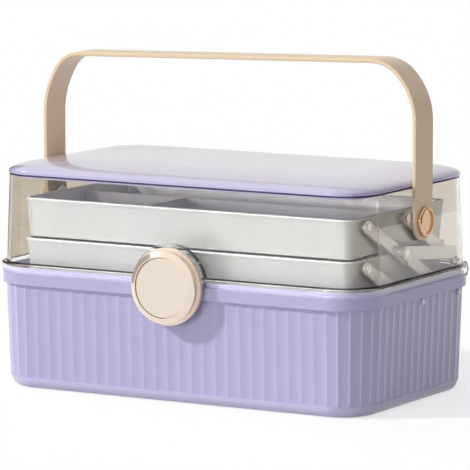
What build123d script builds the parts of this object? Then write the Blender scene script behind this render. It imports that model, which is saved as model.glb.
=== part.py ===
from build123d import *
from math import acos, atan2, cos, degrees, hypot, pi, radians, sin, tan
import os

# Portable storage case: a fluted tub, a clear lid with a domed top panel, a strap handle,
# a round push latch, and two trays that swing up on arms as the lid opens.
# Millimetres. X is the width, Y the depth with the latch at -Y, Z is up.
# The origin is on the floor under the middle of the case.

os.makedirs("parts", exist_ok=True)

SIDES = {"left": -1, "right": 1}

# How far a cut runs past the faces that it goes through
CUT_PAST = 1.0

# ---------------------------------------------------------------- driving dimensions

# Lid flange, the widest outline of the case
FLANGE_WIDTH = 332.0
FLANGE_DEPTH = 195.0
FLANGE_RADIUS = 34.0
FLANGE_HEIGHT = 5.9
FLANGE_PLATE = 2.2
FLANGE_SKIRT = 2.2

# Tub
RIM_TOP = 91.5
RIM_HEIGHT = 9.9
RIM_INSET = 1.0
TUB_INSET_TOP = 3.5
TUB_INSET_BOTTOM = 6.5
TUB_WALL = 2.9
TUB_FLOOR = 2.6
TUB_BAND = 9.0
TUB_BOTTOM_FILLET = 8.0
TUB_INNER_FILLET = 5.0
TUB_FOOT_RADIUS = 36.0
TUB_FLOOR_RADIUS = 33.0
RIM_EDGE_FILLET = 1.2
LIP_HEIGHT = 3.1
LIP_WALL = 1.6

# Flutes on the tub wall
FLUTES_LONG = 25
FLUTES_SIDE = 12
FLUTES_CORNER = 5
FLUTE_DEPTH = 0.6

# Lid
SEAM_GAP = 0.3
LID_INSET = 3.6
LID_DRAFT_DEG = 2.4
LID_WALL = 2.2
LID_HEIGHT = 68.8
LEDGE_WIDTH = 10.0
LEDGE_HEIGHT = 1.6

# Domed top panel
PANEL_OVERHANG = 0.6
PANEL_EDGE = 1.6
PANEL_CROWN = 8.5
PANEL_ROLL = 46.0
PANEL_WALL = 2.4
PANEL_SECTIONS = 6
PANEL_LAST_ANGLE = 84.0
PANEL_CORNER_SHARE = 0.35
PANEL_RIM_DEPTH = 4.0
PANEL_RIM_WALL = 1.8

# Rear hinge
HINGE_STANDOFF = 1.0
HINGE_Z = 90.0
KNUCKLE_RADIUS = 6.5
HINGE_PIN_RADIUS = 2.0
KNUCKLE_GAP = 0.3
HINGE_END_INSET = 16.0
HINGE_LENGTH = 95.0
LID_KNUCKLE_LENGTH = 32.2
HINGE_PIN_INSET = 1.0

# Trays
TRAY_SIDE_ROOM = 22.0
TRAY_END_ROOM = 21.5
TRAY_RADIUS = 8.0
TRAY_HEIGHT = 30.3
TRAY_DRAFT = 2.5
TRAY_WALL = 2.0
TRAY_FLOOR = 2.0
TRAY_FILLET = 3.0
TRAY_FOOT_FILLET = 0.9
TRAY_BEAD = 0.8
TRAY_BEAD_HEIGHT = 2.2
UPPER_TRAY_TOP = 147.2
TRAY_PIVOT_DROP = 6.7
LONG_DIVIDER_Y = 12.0
CROSS_DIVIDER_X = -50.0
DIVIDER_DROP = 4.0
DIVIDER_WALL = 1.8
DIVIDER_GAP = 0.15

# Arms: both trays hang on arms of the same pitch, so they stay level
ARM_STEP_Z = 31.5
FRONT_PIVOT_INSET = 20.0
REAR_PIVOT_INSET = 12.0
ARM_RADIUS = 5.0
ARM_THICK = 2.6
ARM_EDGE = 0.4
LAYER_GAP = 0.3
BOSS_RADIUS = 4.6
PIN_RADIUS = 1.5
PIN_CLEARANCE = 0.05
PIN_HEAD_RADIUS = 3.2
PIN_HEAD = 1.0
PIN_END_RADIUS = 2.3
TRAY_BOSS_STAND = 1.0
PIN_INSIDE = 1.2

# Link from the lid to the upper half of each long arm
LINK_AHEAD = 13.0
LINK_PIN_BEFORE_HINGE = 24.5
LINK_PIN_Z = 98.0
LINK_RISE_REAR = 9.5
LINK_KNEE = 5.0
LINK_END_RADIUS = 4.2
LINK_SLOT_TRAVEL = 3.4
LINK_SLOT_SHIFT = 0.8
LINK_SLOT_RADIUS = 2.65
LINK_BOSS_RADIUS = 4.2
LINK_PIN_BITE = 2.6
LINK_PIN_TIP_GAP = 0.2

# Handle
HANDLE_INSET = 3.8
HANDLE_THICK = 3.3
HANDLE_WIDTH = 28.0
# The soft strap stands a little lower and rounder at its left end
HANDLE_TOP_LEFT = 255.3
HANDLE_TOP_RIGHT = 262.0
# Each shoulder is a wide bend low down and a tighter one at the top, left and right
SHOULDER_IN = (17.6, 22.3)
SHOULDER_DOWN = (30.5, 28.1)
LOW_BENDS = (64.0, 50.0)
TOP_BENDS = (24.0, 32.0)
HANDLE_PIVOT_Z = 139.5
HANDLE_END_DROP = 14.6
HANDLE_EDGE = 0.9
HANDLE_PAD_RADIUS = 12.5
HANDLE_PAD_GAP = 0.2
RIVET_RADIUS = 4.0
RIVET_HEAD_RADIUS = 11.5
RIVET_HEAD = 3.0
RIVET_NUT_RADIUS = 8.0
RIVET_NUT = 1.8
RIVET_TAIL = 0.4
RIVET_CROWN = 1.4
RIVET_RECESS_RADIUS = 9.2
RIVET_RECESS = 1.3
RIVET_DOME_RADIUS = 8.7
RIVET_DOME = 1.9

# Latch
LATCH_Z = 90.5
LATCH_TAB_RADIUS = 32.0
LATCH_TAB_STAND = 0.8
LATCH_RADIUS = 28.0
LATCH_DEPTH = 11.2
LATCH_BORE = 23.2
LATCH_BACK = 1.8
LATCH_BEVEL_DEPTH = 2.4
LATCH_BEVEL_LAND = 0.7
LATCH_RING_FILLET = 0.8
LATCH_BASE_RADIUS = 29.6
LATCH_BASE = 3.0
BUTTON_GAP = 0.3
BUTTON_RECESS = 0.7
BUTTON_THICK = 2.0
BUTTON_EDGE = 0.8
STEM_RADIUS = 2.0
STEM_HEIGHT = 11.0
LEVER_WIDTH = 10.0
LEVER_THICK = 1.8
LEVER_TOP = 13.5
LEVER_BOTTOM = -13.5
LEVER_NOSE = 3.0
LEVER_NOSE_GAP = 0.4
LEVER_PIN_RADIUS = 1.0
LEVER_PIN_DROP = 2.6
WINDOW_MARGIN = 1.2
LUG_WIDTH = 2.0
LUG_HALF_HEIGHT = 2.5
LUG_GAP = 1.2
SPRING_RADIUS = 16.0
SPRING_WIRE = 0.6
SPRING_TURNS = 2.5
SCREW_X = 19.0
SCREW_RISE = 16.0
SCREW_RADIUS = 1.4
SCREW_HEAD_RADIUS = 2.8
SCREW_HEAD = 1.6
SCREW_BITE = 5.0
SCREW_TIP_GAP = 0.5

# ---------------------------------------------------------------- derived places

TRAY_WIDTH = FLANGE_WIDTH - 2 * TRAY_SIDE_ROOM
TRAY_DEPTH = FLANGE_DEPTH - 2 * TRAY_END_ROOM
HINGE_Y = FLANGE_DEPTH / 2 + HINGE_STANDOFF
HINGE_END = FLANGE_WIDTH / 2 - HINGE_END_INSET
HINGE_START = HINGE_END - HINGE_LENGTH
LID_KNUCKLES = (
    (HINGE_START, HINGE_START + LID_KNUCKLE_LENGTH),
    (HINGE_END - LID_KNUCKLE_LENGTH, HINGE_END),
)
HANDLE_INSIDE = FLANGE_WIDTH - 2 * HANDLE_INSET
LATCH_TAB_FRONT = -(FLANGE_DEPTH / 2 + LATCH_TAB_STAND)

FLANGE_BOTTOM = RIM_TOP + SEAM_GAP
FLANGE_TOP = FLANGE_BOTTOM + FLANGE_HEIGHT
PLATE_BOTTOM = FLANGE_TOP - FLANGE_PLATE
RIM_BOTTOM = RIM_TOP - RIM_HEIGHT
LID_TOP = FLANGE_TOP + LID_HEIGHT
LID_DRAFT = tan(radians(LID_DRAFT_DEG))
TUB_SLOPE = (TUB_INSET_BOTTOM - TUB_INSET_TOP) / RIM_BOTTOM

LOWER_TRAY_TOP = UPPER_TRAY_TOP - ARM_STEP_Z
UPPER_PIVOT_Z = UPPER_TRAY_TOP - TRAY_PIVOT_DROP
LOWER_PIVOT_Z = UPPER_PIVOT_Z - ARM_STEP_Z
BASE_PIVOT_Z = LOWER_PIVOT_Z - ARM_STEP_Z
FRONT_PIVOT_Y = FRONT_PIVOT_INSET - TRAY_DEPTH / 2
REAR_PIVOT_Y = TRAY_DEPTH / 2 - REAR_PIVOT_INSET
MID_PIVOT_Y = (FRONT_PIVOT_Y + REAR_PIVOT_Y) / 2
ARM_STEP_Y = MID_PIVOT_Y - FRONT_PIVOT_Y
LINK_FRONT_Y = MID_PIVOT_Y - LINK_AHEAD
LINK_PIN_Y = HINGE_Y - LINK_PIN_BEFORE_HINGE

# Stacked layers between a tray wall and the lid wall, as distances from the middle plane
LAYER_A_IN = TRAY_WIDTH / 2 + TRAY_BOSS_STAND + LAYER_GAP
LAYER_A_OUT = LAYER_A_IN + ARM_THICK
LAYER_B_OUT = LAYER_A_OUT + ARM_THICK + LAYER_GAP
LAYER_C_IN = LAYER_B_OUT + LAYER_GAP
LAYER_C_OUT = LAYER_C_IN + ARM_THICK
LONG_ARM_BOSS_IN = LAYER_B_OUT + LAYER_GAP
LOWER_ARM_BOSS_IN = LAYER_A_OUT + LAYER_GAP
LINK_PIN_HOLE_END = LAYER_C_OUT + LAYER_GAP + LINK_PIN_BITE

BUTTON_FRONT = LATCH_TAB_FRONT - LATCH_DEPTH + BUTTON_RECESS
BUTTON_BACK = BUTTON_FRONT + BUTTON_THICK
HOUSING_FLOOR = LATCH_TAB_FRONT - LATCH_BACK
LEVER_PIN_Y = HOUSING_FLOOR - LEVER_PIN_DROP
LEVER_FRONT = LEVER_PIN_Y - LEVER_THICK / 2
RIM_FRONT = -(FLANGE_DEPTH / 2 - RIM_INSET)


# ---------------------------------------------------------------- helpers


def save(builder, name):
    """Label one finished piece and write it."""
    builder.part.label = name
    export_step(builder.part, f"parts/{name}.step")


def side_plane(x):
    """Plane across the width at x, with local x along Y and local y along Z."""
    return Plane(origin=(x, 0, 0), x_dir=(0, 1, 0), z_dir=(1, 0, 0))


def side_span(side, inner, outer):
    """Plane at the lower X end of a layer, and the layer's thickness."""
    return side_plane(min(side * inner, side * outer)), abs(outer - inner)


def front_plane(y):
    """Plane across the depth at y, with local x along X and local y along Z, facing -Y."""
    return Plane(origin=(0, y, 0), x_dir=(1, 0, 0), z_dir=(0, -1, 0))


def side_disc(side, centre, radius, inner, outer, mode=Mode.ADD):
    """Round boss, pin or hole along X between two distances from the middle plane."""
    plane, thick = side_span(side, inner, outer)
    with BuildSketch(plane) as disc:
        with Locations(centre):
            Circle(radius)
    extrude(disc.sketch, amount=thick, mode=mode)


def flange_inset(z, inset, radius=None):
    """Rounded rectangle at height z, the flange outline brought in by inset."""
    corner = FLANGE_RADIUS - inset if radius is None else radius
    with BuildSketch(Plane.XY.offset(z)) as outline:
        RectangleRounded(FLANGE_WIDTH - 2 * inset, FLANGE_DEPTH - 2 * inset, corner)
    return outline.sketch


def flange_ring(z, inset, wall):
    """Closed band at height z, wall wide, whose outer edge is the flange outline brought in by inset."""
    with BuildSketch(Plane.XY.offset(z)) as outline:
        for step, mode in ((inset, Mode.ADD), (inset + wall, Mode.SUBTRACT)):
            RectangleRounded(
                FLANGE_WIDTH - 2 * step, FLANGE_DEPTH - 2 * step, FLANGE_RADIUS - step, mode=mode
            )
    return outline.sketch


def tub_inset(z):
    """How far the tub's outer wall stands inside the flange outline at height z."""
    return TUB_INSET_BOTTOM - TUB_SLOPE * z


def lid_inset(z):
    """How far the lid's outer wall stands inside the flange outline at height z."""
    return LID_INSET + LID_DRAFT * (z - FLANGE_TOP)


def fluted_outline(z):
    """Closed run of shallow concave arcs round the tub wall at height z."""
    inset = tub_inset(z)
    radius = FLANGE_RADIUS - inset
    half_x = FLANGE_WIDTH / 2 - FLANGE_RADIUS
    half_y = FLANGE_DEPTH / 2 - FLANGE_RADIUS
    corners = ((half_x, half_y), (-half_x, half_y), (-half_x, -half_y), (half_x, -half_y))
    counts = (FLUTES_LONG, FLUTES_SIDE, FLUTES_LONG, FLUTES_SIDE)
    step = pi / 2 / FLUTES_CORNER
    with BuildSketch(Plane.XY.offset(z)) as outline:
        with BuildLine():
            for index, straight_count in enumerate(counts):
                centre = Vector(*corners[index])
                following = Vector(*corners[(index + 1) % len(corners)])
                for flute in range(FLUTES_CORNER):
                    first = index * pi / 2 + flute * step
                    ridge = centre + Vector(cos(first), sin(first)) * radius
                    middle = Vector(cos(first + step / 2), sin(first + step / 2))
                    valley = centre + middle * (radius - FLUTE_DEPTH)
                    next_ridge = centre + Vector(cos(first + step), sin(first + step)) * radius
                    ThreePointArc(ridge, valley, next_ridge)
                outward = Vector(cos((index + 1) * pi / 2), sin((index + 1) * pi / 2))
                wall_start = centre + outward * radius
                along = (following - centre) / straight_count
                for flute in range(straight_count):
                    ridge = wall_start + along * flute
                    valley = wall_start + along * (flute + 0.5) - outward * FLUTE_DEPTH
                    ThreePointArc(ridge, valley, ridge + along)
        make_face()
    return outline.sketch


# ---------------------------------------------------------------- tub

TUB_CAVITY_TOP = RIM_TOP + LIP_HEIGHT

# The hollow, with the arm bosses left standing in it
with BuildPart() as tub_cavity:
    cavity_floor = flange_inset(TUB_FLOOR, tub_inset(TUB_FLOOR) + TUB_WALL, TUB_FLOOR_RADIUS)
    cavity_mouth = flange_inset(TUB_CAVITY_TOP, tub_inset(TUB_CAVITY_TOP) + TUB_WALL)
    loft([cavity_floor, cavity_mouth], ruled=True)
    fillet(tub_cavity.edges().group_by(Axis.Z)[0], radius=TUB_INNER_FILLET)
    for side in SIDES.values():
        long_boss = (REAR_PIVOT_Y, BASE_PIVOT_Z)
        lower_boss = (MID_PIVOT_Y, BASE_PIVOT_Z)
        side_disc(side, long_boss, BOSS_RADIUS, LONG_ARM_BOSS_IN, FLANGE_WIDTH / 2, Mode.SUBTRACT)
        side_disc(side, lower_boss, BOSS_RADIUS, LOWER_ARM_BOSS_IN, FLANGE_WIDTH / 2, Mode.SUBTRACT)

with BuildPart() as base_body:
    band_foot = flange_inset(0, tub_inset(0), TUB_FOOT_RADIUS)
    band_top = flange_inset(TUB_BAND, tub_inset(TUB_BAND))
    loft([band_foot, band_top], ruled=True)
    fillet(base_body.edges().group_by(Axis.Z)[0], radius=TUB_BOTTOM_FILLET)
    loft([fluted_outline(TUB_BAND), fluted_outline(RIM_BOTTOM)], ruled=True)
    extrude(flange_inset(RIM_BOTTOM, RIM_INSET), amount=RIM_HEIGHT)
    rim_outline = [
        edge
        for edge in base_body.edges()
        if edge.center().Z > RIM_BOTTOM - 0.01 and edge.bounding_box().size.Z < 0.01
    ]
    rim_top_edges = [edge for edge in rim_outline if edge.center().Z > RIM_TOP - 0.01]
    fillet(rim_top_edges, radius=RIM_EDGE_FILLET)
    # Lip that stands inside the lid's skirt
    lip_foot = flange_inset(RIM_TOP - RIM_EDGE_FILLET, tub_inset(RIM_TOP) + TUB_WALL - LIP_WALL)
    extrude(lip_foot, amount=LIP_HEIGHT + RIM_EDGE_FILLET)
    add(tub_cavity.part, mode=Mode.SUBTRACT)
    for side in SIDES.values():
        # Recess behind the lid's knuckles, then the tub's own knuckle between them
        side_disc(
            side,
            (HINGE_Y, HINGE_Z),
            KNUCKLE_RADIUS + KNUCKLE_GAP,
            LID_KNUCKLES[0][0] - KNUCKLE_GAP,
            LID_KNUCKLES[1][1] + KNUCKLE_GAP,
            Mode.SUBTRACT,
        )
        own_start = LID_KNUCKLES[0][1] + KNUCKLE_GAP
        own_end = LID_KNUCKLES[1][0] - KNUCKLE_GAP
        knuckle_plane, knuckle_length = side_span(side, own_start, own_end)
        with BuildSketch(knuckle_plane):
            with Locations((HINGE_Y, HINGE_Z)):
                Circle(KNUCKLE_RADIUS - KNUCKLE_GAP)
            arm_low = HINGE_Z - KNUCKLE_RADIUS + KNUCKLE_GAP
            arm_back = -RIM_FRONT - KNUCKLE_RADIUS + 2 * RIM_INSET
            with Locations((arm_back, arm_low)):
                Rectangle(
                    HINGE_Y - arm_back, RIM_TOP - RIM_EDGE_FILLET - arm_low, align=(Align.MIN, Align.MIN)
                )
        extrude(amount=knuckle_length)
        side_disc(
            side,
            (HINGE_Y, HINGE_Z),
            HINGE_PIN_RADIUS + PIN_CLEARANCE,
            own_start - CUT_PAST,
            own_end + CUT_PAST,
            Mode.SUBTRACT,
        )
        for pivot_y in (MID_PIVOT_Y, REAR_PIVOT_Y):
            side_disc(
                side,
                (pivot_y, BASE_PIVOT_Z),
                PIN_RADIUS + PIN_CLEARANCE,
                LOWER_ARM_BOSS_IN - CUT_PAST,
                FLANGE_WIDTH / 2,
                Mode.SUBTRACT,
            )
save(base_body, "base_body")

# ---------------------------------------------------------------- lid

LEDGE_BOTTOM = LID_TOP - LEDGE_HEIGHT

with BuildPart() as lid_cavity:
    hollow_foot = flange_inset(PLATE_BOTTOM, lid_inset(PLATE_BOTTOM) + LID_WALL)
    hollow_top = flange_inset(LEDGE_BOTTOM, lid_inset(LEDGE_BOTTOM) + LID_WALL)
    loft([hollow_foot, hollow_top], ruled=True)
    for side in SIDES.values():
        side_disc(
            side,
            (LINK_PIN_Y, LINK_PIN_Z),
            LINK_BOSS_RADIUS,
            LAYER_C_OUT + LAYER_GAP,
            FLANGE_WIDTH / 2,
            Mode.SUBTRACT,
        )

with BuildPart() as lid_shell:
    extrude(flange_inset(FLANGE_BOTTOM, 0), amount=FLANGE_HEIGHT)
    fillet(lid_shell.edges().group_by(Axis.Z)[-1], radius=RIM_EDGE_FILLET)
    wall_foot = flange_inset(PLATE_BOTTOM, lid_inset(PLATE_BOTTOM))
    wall_top = flange_inset(LID_TOP, lid_inset(LID_TOP))
    loft([wall_foot, wall_top], ruled=True)
    # Tab that carries the latch on the front wall
    with BuildSketch(front_plane(LATCH_TAB_FRONT)):
        with Locations((0, LATCH_Z)):
            Circle(LATCH_TAB_RADIUS)
        with Locations((0, FLANGE_BOTTOM)):
            Rectangle(
                3 * LATCH_TAB_RADIUS,
                2 * LATCH_TAB_RADIUS,
                align=(Align.CENTER, Align.MIN),
                mode=Mode.INTERSECT,
            )
    extrude(amount=LATCH_TAB_FRONT + FLANGE_DEPTH / 2 - LID_INSET - LID_WALL)
    # Pads under the handle strap
    for side in SIDES.values():
        side_disc(
            side,
            (0, HANDLE_PIVOT_Z),
            HANDLE_PAD_RADIUS,
            HANDLE_INSIDE / 2 - FLANGE_SKIRT * 2,
            HANDLE_INSIDE / 2 - HANDLE_PAD_GAP,
        )
    # Knuckles, and room for the tub's knuckle between them
    for side in SIDES.values():
        for inner, outer in LID_KNUCKLES:
            side_disc(side, (HINGE_Y, HINGE_Z), KNUCKLE_RADIUS, inner, outer)
    # Channel under the flange plate, over the tub's lip
    channel = flange_inset(FLANGE_BOTTOM, FLANGE_SKIRT)
    extrude(channel, amount=PLATE_BOTTOM - FLANGE_BOTTOM, mode=Mode.SUBTRACT)
    add(lid_cavity.part, mode=Mode.SUBTRACT)
    top_opening = flange_inset(LEDGE_BOTTOM, lid_inset(LEDGE_BOTTOM) + LEDGE_WIDTH)
    extrude(top_opening, amount=LEDGE_HEIGHT, mode=Mode.SUBTRACT)
    for side in SIDES.values():
        # The channel cut into the knuckles, so they are made whole again below the seam
        for inner, outer in LID_KNUCKLES:
            side_disc(side, (HINGE_Y, HINGE_Z), KNUCKLE_RADIUS, inner, outer)
            side_disc(
                side, (HINGE_Y, HINGE_Z), HINGE_PIN_RADIUS + PIN_CLEARANCE, inner, outer, Mode.SUBTRACT
            )
        side_disc(
            side,
            (HINGE_Y, HINGE_Z),
            KNUCKLE_RADIUS + KNUCKLE_GAP,
            LID_KNUCKLES[0][1],
            LID_KNUCKLES[1][0],
            Mode.SUBTRACT,
        )
        side_disc(
            side,
            (0, HANDLE_PIVOT_Z),
            RIVET_RADIUS + PIN_CLEARANCE,
            HANDLE_INSIDE / 2 - HANDLE_PAD_RADIUS,
            FLANGE_WIDTH / 2,
            Mode.SUBTRACT,
        )
        side_disc(
            side,
            (LINK_PIN_Y, LINK_PIN_Z),
            PIN_RADIUS + PIN_CLEARANCE,
            LAYER_C_OUT,
            LINK_PIN_HOLE_END,
            Mode.SUBTRACT,
        )
    with BuildSketch(front_plane(LATCH_TAB_FRONT)):
        with Locations((-SCREW_X, LATCH_Z + SCREW_RISE), (SCREW_X, LATCH_Z + SCREW_RISE)):
            Circle(SCREW_RADIUS + PIN_CLEARANCE)
    extrude(amount=-2 * SCREW_BITE - LID_WALL, mode=Mode.SUBTRACT)
save(lid_shell, "lid_shell")

# Domed panel that closes the lid: an upright edge, then a rolled shoulder to a near-flat top


def panel_rise(roll):
    """Height of the panel's outer surface over the lid wall, roll inside its edge."""
    angle = acos(1 - roll / PANEL_ROLL)
    return PANEL_EDGE + PANEL_CROWN * sin(angle)


def dome(drop):
    """Build the pillow shape into the current part, drop inside the outer surface."""
    inset = lid_inset(LID_TOP) - PANEL_OVERHANG + drop
    edge = flange_inset(LID_TOP, inset)
    extrude(edge, amount=PANEL_EDGE)
    flatten = 1 - drop / PANEL_CROWN
    sections = []
    for section in range(PANEL_SECTIONS):
        angle = radians(PANEL_LAST_ANGLE) * section / (PANEL_SECTIONS - 1)
        rise = PANEL_EDGE + PANEL_CROWN * sin(angle) * flatten
        roll = PANEL_ROLL * (1 - cos(angle))
        corner = FLANGE_RADIUS - inset - roll * PANEL_CORNER_SHARE
        sections.append(flange_inset(LID_TOP + rise, inset + roll, corner))
    loft(sections)


with BuildPart() as panel_hollow:
    dome(PANEL_WALL)

with BuildPart() as lid_top_panel:
    dome(0)
    add(panel_hollow.part, mode=Mode.SUBTRACT)
    # Locating rim that drops through the opening in the lid's ledge
    rim_inset = lid_inset(LID_TOP) + LEDGE_WIDTH + SEAM_GAP
    rim_height = PANEL_RIM_DEPTH + panel_rise(LEDGE_WIDTH) - PANEL_WALL / 2
    extrude(flange_ring(LID_TOP - PANEL_RIM_DEPTH, rim_inset, PANEL_RIM_WALL), amount=rim_height)
save(lid_top_panel, "lid_top_panel")

# ---------------------------------------------------------------- handle

STRAP_MIDDLE = HANDLE_INSIDE / 2 + HANDLE_THICK / 2
STRAP_END_Z = HANDLE_PIVOT_Z - HANDLE_END_DROP
STRAP_TOP_LEFT = HANDLE_TOP_LEFT - HANDLE_THICK / 2
STRAP_TOP_RIGHT = HANDLE_TOP_RIGHT - HANDLE_THICK / 2

with BuildPart() as handle_strap:
    with BuildLine(Plane.XZ) as strap_path:
        FilletPolyline(
            (-STRAP_MIDDLE, STRAP_END_Z),
            (-STRAP_MIDDLE, STRAP_TOP_LEFT - SHOULDER_DOWN[0]),
            (SHOULDER_IN[0] - STRAP_MIDDLE, STRAP_TOP_LEFT),
            (STRAP_MIDDLE - SHOULDER_IN[1], STRAP_TOP_RIGHT),
            (STRAP_MIDDLE, STRAP_TOP_RIGHT - SHOULDER_DOWN[1]),
            (STRAP_MIDDLE, STRAP_END_Z),
            radius=[LOW_BENDS[0], TOP_BENDS[0], TOP_BENDS[1], LOW_BENDS[1]],
        )
    with BuildSketch(Plane(origin=strap_path.line @ 0, z_dir=strap_path.line % 0, x_dir=(0, 1, 0))):
        Rectangle(HANDLE_WIDTH, HANDLE_THICK)
    sweep()
    end_corners = handle_strap.edges().filter_by(Axis.X).group_by(Axis.Z)[0]
    fillet(end_corners, radius=HANDLE_WIDTH / 2 - PIN_CLEARANCE)
    long_edges = [
        edge
        for edge in handle_strap.edges()
        if abs(edge.center().Y) > HANDLE_EDGE and edge.length > 2 * HANDLE_THICK
    ]
    fillet(long_edges, radius=HANDLE_EDGE)
    for side in SIDES.values():
        side_disc(
            side,
            (0, HANDLE_PIVOT_Z),
            RIVET_RADIUS + PIN_CLEARANCE,
            HANDLE_INSIDE / 2 - CUT_PAST,
            HANDLE_INSIDE / 2 + HANDLE_THICK + CUT_PAST,
            Mode.SUBTRACT,
        )
save(handle_strap, "handle_strap")

LID_INNER_AT_RIVET = FLANGE_WIDTH / 2 - lid_inset(HANDLE_PIVOT_Z) - LID_WALL
RIVET_HEAD_BACK = HANDLE_INSIDE / 2 + HANDLE_THICK + HANDLE_PAD_GAP
RIVET_HEAD_FRONT = RIVET_HEAD_BACK + RIVET_HEAD
NUT_OUT = LID_INNER_AT_RIVET - LID_DRAFT * RIVET_NUT_RADIUS - PIN_CLEARANCE

with BuildPart() as handle_rivets:
    for side in SIDES.values():
        shank_start = NUT_OUT - RIVET_NUT - RIVET_TAIL
        side_disc(side, (0, HANDLE_PIVOT_Z), RIVET_RADIUS, shank_start, RIVET_HEAD_BACK)
        side_disc(side, (0, HANDLE_PIVOT_Z), RIVET_HEAD_RADIUS, RIVET_HEAD_BACK, RIVET_HEAD_FRONT)
    cap_edges = [
        edge for edge in handle_rivets.edges() if abs(edge.center().X) > RIVET_HEAD_FRONT - PIN_CLEARANCE
    ]
    fillet(cap_edges, radius=RIVET_CROWN)
    # Round recess in the face of each cap, with a low dome standing in it
    recess_floor = RIVET_HEAD_FRONT - RIVET_RECESS
    dome_sphere = (RIVET_DOME_RADIUS**2 + RIVET_DOME**2) / (2 * RIVET_DOME)
    dome_x = recess_floor + RIVET_DOME - dome_sphere
    for side in SIDES.values():
        recess = (side, (0, HANDLE_PIVOT_Z), RIVET_RECESS_RADIUS, recess_floor, RIVET_HEAD_FRONT + CUT_PAST)
        side_disc(*recess, Mode.SUBTRACT)
        with BuildPart() as rivet_dome:
            with Locations((side * dome_x, 0, HANDLE_PIVOT_Z)):
                Sphere(dome_sphere)
            side_disc(*recess, Mode.INTERSECT)
            dome_root = (side, (0, HANDLE_PIVOT_Z), RIVET_DOME_RADIUS - PIN_CLEARANCE)
            side_disc(*dome_root, recess_floor - RIVET_TAIL, recess_floor)
        add(rivet_dome.part)
save(handle_rivets, "handle_rivets")

with BuildPart() as handle_rivet_nuts:
    for side in SIDES.values():
        side_disc(side, (0, HANDLE_PIVOT_Z), RIVET_NUT_RADIUS, NUT_OUT - RIVET_NUT, NUT_OUT)
        side_disc(
            side,
            (0, HANDLE_PIVOT_Z),
            RIVET_RADIUS + PIN_CLEARANCE,
            NUT_OUT - RIVET_NUT - CUT_PAST,
            NUT_OUT + CUT_PAST,
            Mode.SUBTRACT,
        )
save(handle_rivet_nuts, "handle_rivet_nuts")

# ---------------------------------------------------------------- latch


def front_disc(centre, radius, back, front, mode=Mode.ADD):
    """Round solid or hole along Y between two depths, front being the lower Y."""
    with BuildSketch(front_plane(back)) as disc:
        with Locations(centre):
            Circle(radius)
    extrude(disc.sketch, amount=back - front, mode=mode)


def front_block(centre, width, height, back, front, mode=Mode.ADD):
    """Rectangular solid or hole along Y between two depths."""
    with BuildSketch(front_plane(back)) as block:
        with Locations(centre):
            Rectangle(width, height)
    extrude(block.sketch, amount=back - front, mode=mode)


LATCH_CENTRE = (0, LATCH_Z)
HOUSING_FRONT = LATCH_TAB_FRONT - LATCH_DEPTH
LEVER_SPAN = LEVER_TOP - LEVER_BOTTOM
LEVER_MIDDLE = (0, LATCH_Z + (LEVER_TOP + LEVER_BOTTOM) / 2)

with BuildPart() as latch_housing:
    # Round body on a wider base, its ring sloping back from the button to a crisp edge
    bevel_back = HOUSING_FRONT + LATCH_BEVEL_DEPTH
    front_disc(LATCH_CENTRE, LATCH_RADIUS, LATCH_TAB_FRONT, bevel_back)
    ring_sections = []
    for y, radius in ((bevel_back, LATCH_RADIUS), (HOUSING_FRONT, LATCH_BORE + LATCH_BEVEL_LAND)):
        with BuildSketch(front_plane(y)) as ring_section:
            with Locations(LATCH_CENTRE):
                Circle(radius)
        ring_sections.append(ring_section.sketch)
    loft(ring_sections, ruled=True)
    ring_edge = latch_housing.edges().filter_by_position(Axis.Y, bevel_back - 0.01, bevel_back + 0.01)
    fillet(ring_edge, radius=LATCH_RING_FILLET)
    front_disc(LATCH_CENTRE, LATCH_BASE_RADIUS, LATCH_TAB_FRONT, LATCH_TAB_FRONT - LATCH_BASE)
    front_disc(LATCH_CENTRE, LATCH_BORE, HOUSING_FLOOR, HOUSING_FRONT - CUT_PAST, Mode.SUBTRACT)
    front_block(
        LEVER_MIDDLE,
        LEVER_WIDTH + 2 * WINDOW_MARGIN,
        LEVER_SPAN + 2 * WINDOW_MARGIN,
        LATCH_TAB_FRONT + CUT_PAST,
        HOUSING_FLOOR - CUT_PAST,
        Mode.SUBTRACT,
    )
    for sign in SIDES.values():
        lug_x = sign * (LEVER_WIDTH / 2 + LUG_GAP + LUG_WIDTH / 2)
        front_block(
            (lug_x, LATCH_Z), LUG_WIDTH, 2 * LUG_HALF_HEIGHT, HOUSING_FLOOR, LEVER_PIN_Y - LUG_HALF_HEIGHT
        )
        side_disc(
            sign,
            (LEVER_PIN_Y, LATCH_Z),
            LEVER_PIN_RADIUS + PIN_CLEARANCE,
            LEVER_WIDTH / 2,
            LEVER_WIDTH / 2 + LUG_GAP + LUG_WIDTH + CUT_PAST,
            Mode.SUBTRACT,
        )
        front_disc(
            (sign * SCREW_X, LATCH_Z + SCREW_RISE),
            SCREW_RADIUS + PIN_CLEARANCE,
            LATCH_TAB_FRONT + CUT_PAST,
            LATCH_TAB_FRONT - SCREW_BITE,
            Mode.SUBTRACT,
        )
save(latch_housing, "latch_housing")

with BuildPart() as latch_button:
    front_disc(LATCH_CENTRE, LATCH_BORE - BUTTON_GAP, BUTTON_BACK, BUTTON_FRONT)
    fillet(latch_button.edges().group_by(Axis.Y)[0], radius=BUTTON_EDGE)
    front_disc((0, LATCH_Z + STEM_HEIGHT), STEM_RADIUS, LEVER_FRONT - BUTTON_GAP, BUTTON_BACK)
save(latch_button, "latch_button")

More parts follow.
